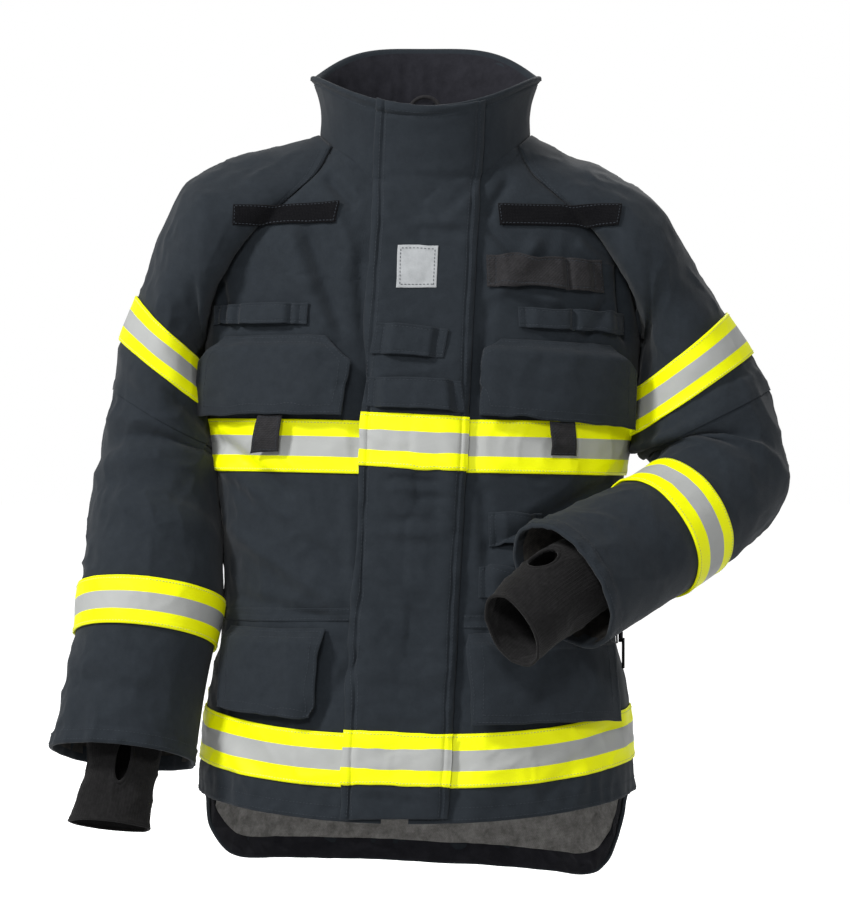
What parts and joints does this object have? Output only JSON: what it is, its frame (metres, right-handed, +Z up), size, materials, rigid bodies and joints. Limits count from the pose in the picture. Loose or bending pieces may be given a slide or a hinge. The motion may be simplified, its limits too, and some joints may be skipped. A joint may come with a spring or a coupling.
{
  "type": "turnout coat",
  "caption": "Firefighter's turnout coat with reflective tape, storm flap over a front zip, pockets with flaps and knitted wristlets.",
  "frame": {"origin": "middle of the neck opening, at the height of the neckline seam", "axes": "+Z up, -Y is the coat's front, +X towards the wearer's left; the back lies towards +Y"},
  "size_m": [0.721, 0.4222, 0.8601],
  "materials": {
    "shell": "matt woven aramid",
    "knit": "ribbed knit",
    "tape": "fluorescent trim with a retroreflective middle",
    "black_webbing": "matt webbing",
    "lining": "quilted lining cloth",
    "label": "woven label",
    "metal": "brushed",
    "zip_cloth": "woven tape"
  },
  "bodies": {
    "coat": {"back_panel": "shell", "right_front_panel": "shell", "left_front_panel": "shell", "collar": "shell", "collar_lining": "black_webbing", "moisture_barrier": "lining", "quilted_lining": "lining", "hanging_loop": "black_webbing", "zip_tape_right": "zip_cloth", "zip_tape_left": "zip_cloth", "zip_teeth_right": "metal", "zip_teeth_left": "metal", "zip_bottom_stop": "metal", "storm_flap_loop_strip": "black_webbing", "right_chest_pocket": "shell", "left_chest_pocket": "shell", "right_hip_pocket": "shell", "left_hip_pocket": "shell", "right_name_strip": "black_webbing", "left_name_strip": "black_webbing", "radio_loop": "black_webbing", "left_utility_loop": "shell", "right_utility_loop": "shell", "torch_loop": "shell", "glove_loop": "shell", "side_zip": "zip_cloth", "chest_tape_right": "tape", "chest_tape_left": "tape", "chest_tape_back": "tape", "hem_tape_front": "tape", "hem_tape_back": "tape", "right_shoulder": "shell", "right_armhole_fold": "shell", "left_shoulder": "shell", "left_armhole_fold": "shell"},
    "flap": {"storm_flap": "shell", "storm_flap_hook_strip": "black_webbing", "label_patch": "label", "centre_loop": "shell", "centre_band": "shell", "chest_tape_flap": "tape", "hem_tape_flap": "tape"},
    "slider": {"zip_slider": "metal"},
    "pull": {"zip_pull": "metal"},
    "right_chest_cover": {"right_chest_flap": "shell", "right_chest_pull": "black_webbing"},
    "left_chest_cover": {"left_chest_flap": "shell", "left_chest_pull": "black_webbing"},
    "right_hip_cover": {"right_hip_flap": "shell"},
    "left_hip_cover": {"left_hip_flap": "shell"},
    "side_slider": {"side_zip_slider": "metal"},
    "right_upper_arm": {"right_upper_sleeve": "shell", "right_elbow_fold": "shell"},
    "right_forearm": {"right_lower_sleeve": "shell", "right_wristlet": "knit"},
    "left_upper_arm": {"left_upper_sleeve": "shell", "left_elbow_fold": "shell"},
    "left_forearm": {"left_lower_sleeve": "shell", "left_wristlet": "knit"}
  },
  "joints": [
    {"name": "storm_flap_hinge", "type": "hinge", "parent": "coat", "child": "flap", "pos_m": [0.04255, -0.13815, -0.3484], "axis": [0.0518, 0.1041, 0.9932], "range_deg": [0, 80]},
    {"name": "zip_slide", "type": "slide", "parent": "coat", "child": "slider", "axis": [-0.0506, -0.0954, -0.9942], "range_m": [0, 0.5]},
    {"name": "zip_pull_swing", "type": "hinge", "parent": "slider", "child": "pull", "pos_m": [0.00576, -0.10343, -0.07307], "axis": [-1, 0, 0], "range_deg": [0, 6]},
    {"name": "right_chest_flap_lift", "type": "hinge", "parent": "coat", "child": "right_chest_cover", "pos_m": [-0.1391, -0.1045, -0.1898], "axis": [-0.9191, 0.3921, -0.0396], "range_deg": [0, 60]},
    {"name": "left_chest_flap_lift", "type": "hinge", "parent": "coat", "child": "left_chest_cover", "pos_m": [0.1319, -0.1091, -0.1948], "axis": [-0.9405, -0.3379, 0.0374], "range_deg": [0, 60]},
    {"name": "right_hip_flap_lift", "type": "hinge", "parent": "coat", "child": "right_hip_cover", "pos_m": [-0.1395, -0.1212, -0.4718], "axis": [-0.7925, 0.6099, 0.0008], "range_deg": [0, 60]},
    {"name": "left_hip_flap_lift", "type": "hinge", "parent": "coat", "child": "left_hip_cover", "pos_m": [0.1151, -0.1321, -0.4758], "axis": [-0.8767, -0.4811, 0], "range_deg": [0, 60]},
    {"name": "side_zip_slide", "type": "slide", "parent": "coat", "child": "side_slider", "axis": [0.0163, 0.0149, 0.9998], "range_m": [0, 0.085]},
    {"name": "right_arm_raise", "type": "hinge", "parent": "coat", "child": "right_upper_arm", "pos_m": [-0.217, -0.04, -0.196], "axis": [0, 1, 0], "range_deg": [0, 25], "deforming": ["right_armhole_fold"]},
    {"name": "right_elbow_bend", "type": "hinge", "parent": "right_upper_arm", "child": "right_forearm", "pos_m": [-0.259, -0.014, -0.33], "axis": [-1, 0, 0], "range_deg": [0, 45], "deforming": ["right_elbow_fold"]},
    {"name": "left_arm_raise", "type": "hinge", "parent": "coat", "child": "left_upper_arm", "pos_m": [0.217, -0.04, -0.196], "axis": [0, -1, 0], "range_deg": [0, 25], "deforming": ["left_armhole_fold"]},
    {"name": "left_elbow_straighten", "type": "hinge", "parent": "left_upper_arm", "child": "left_forearm", "pos_m": [0.298, -0.046, -0.322], "axis": [0.4527, -0.8105, 0.3718], "range_deg": [0, 55], "deforming": ["left_elbow_fold"]}
  ]
}
